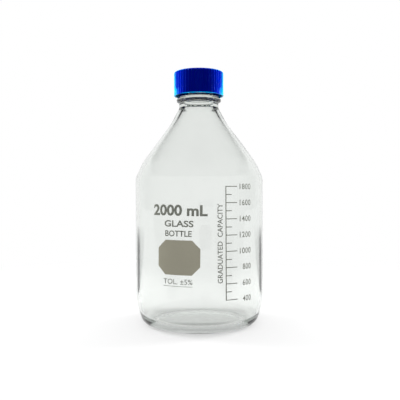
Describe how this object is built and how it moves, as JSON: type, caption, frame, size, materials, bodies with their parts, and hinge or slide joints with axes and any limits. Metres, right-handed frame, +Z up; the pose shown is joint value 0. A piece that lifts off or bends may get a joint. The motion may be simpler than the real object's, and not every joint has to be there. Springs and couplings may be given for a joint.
{
  "type": "round glass media bottle",
  "caption": "Round clear glass laboratory media bottle with a conical shoulder, a bead below its screw neck, a pouring ring and a ribbed blue screw cap that unscrews.",
  "frame": {"origin": "centre of the foot, on the surface that the bottle stands on", "axes": "+Z up along the bottle's axis to the cap, -Y towards the side that carries the printed scale, +X to its right as seen from there"},
  "size_m": [0.134, 0.134, 0.2644],
  "materials": {
    "glass": "clear blown borosilicate, fire polished",
    "ring_plastic": "moulded polypropylene",
    "liner": "soft sealing disc, off-white",
    "cap_plastic": "moulded polypropylene, slightly see-through at thin edges"
  },
  "bodies": {
    "vessel": {"bottle": "glass", "pouring_ring": "ring_plastic"},
    "liner": {"cap_liner": "liner"},
    "cap": {"cap": "cap_plastic"}
  },
  "joints": [
    {"name": "cap_rise", "type": "slide", "parent": "vessel", "child": "liner", "axis": [0, 0, 1], "range_m": [0, 0.0281]},
    {"name": "cap_turn", "type": "hinge", "parent": "liner", "child": "cap", "pos_m": [0, 0, 0.25], "axis": [0, 0, 1], "range_deg": [0, 2520]}
  ],
  "couplings": [
    {"joint": "cap_rise", "follows": "cap_turn", "m_per_rad": 0.00063662}
  ]
}
